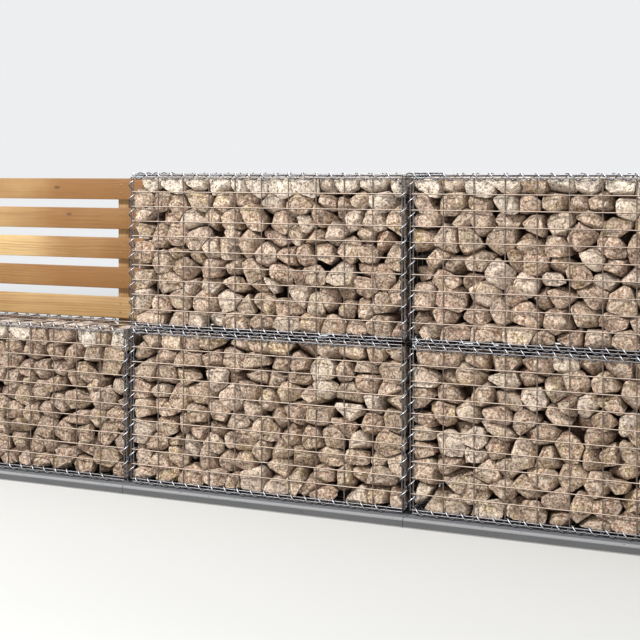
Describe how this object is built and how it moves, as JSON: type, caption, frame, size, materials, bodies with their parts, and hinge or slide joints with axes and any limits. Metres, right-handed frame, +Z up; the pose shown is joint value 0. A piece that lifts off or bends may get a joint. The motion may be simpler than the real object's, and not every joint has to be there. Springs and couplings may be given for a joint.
{
  "type": "gabion wall",
  "caption": "Free-standing wall of stone-filled welded wire baskets in bays, laced with spiral binders, on a flat concrete kerb, with a timber slat screen on its low bay.",
  "frame": {"origin": "bottom centre of the whole wall, on the ground under the middle kerb unit", "axes": "+X along the wall towards the two-high end, -Y out of the front, +Z up"},
  "size_m": [3.114, 0.38, 1.0987],
  "materials": {
    "galvanised_wire": "galvanised, dull, weathered",
    "broken_stone": "rough broken sandstone and limestone",
    "concrete": "fine cast concrete",
    "planed_timber": "planed softwood, oiled"
  },
  "bodies": {
    "root": {"lower_left_front_mesh": "galvanised_wire", "lower_left_back_mesh": "galvanised_wire", "lower_left_lid_mesh": "galvanised_wire", "lower_left_base_mesh": "galvanised_wire", "lower_left_end_meshes": "galvanised_wire", "lower_left_front_spirals": "galvanised_wire", "lower_left_stone_fill": "broken_stone", "lower_middle_front_mesh": "galvanised_wire", "lower_middle_back_mesh": "galvanised_wire", "lower_middle_lid_mesh": "galvanised_wire", "lower_middle_base_mesh": "galvanised_wire", "lower_middle_end_meshes": "galvanised_wire", "lower_middle_front_spirals": "galvanised_wire", "lower_middle_stone_fill": "broken_stone", "lower_right_front_mesh": "galvanised_wire", "lower_right_back_mesh": "galvanised_wire", "lower_right_lid_mesh": "galvanised_wire", "lower_right_base_mesh": "galvanised_wire", "lower_right_end_meshes": "galvanised_wire", "lower_right_front_spirals": "galvanised_wire", "lower_right_stone_fill": "broken_stone", "upper_middle_front_mesh": "galvanised_wire", "upper_middle_back_mesh": "galvanised_wire", "upper_middle_lid_mesh": "galvanised_wire", "upper_middle_base_mesh": "galvanised_wire", "upper_middle_end_meshes": "galvanised_wire", "upper_middle_front_spirals": "galvanised_wire", "upper_middle_stone_fill": "broken_stone", "upper_right_front_mesh": "galvanised_wire", "upper_right_back_mesh": "galvanised_wire", "upper_right_lid_mesh": "galvanised_wire", "upper_right_base_mesh": "galvanised_wire", "upper_right_end_meshes": "galvanised_wire", "upper_right_front_spirals": "galvanised_wire", "upper_right_stone_fill": "broken_stone", "kerb_left": "concrete", "kerb_middle": "concrete", "kerb_right": "concrete", "screen_board_1": "planed_timber", "screen_board_2": "planed_timber", "screen_board_3": "planed_timber", "screen_board_4": "planed_timber", "screen_board_5": "planed_timber", "screen_posts": "planed_timber"}
  },
  "joints": []
}
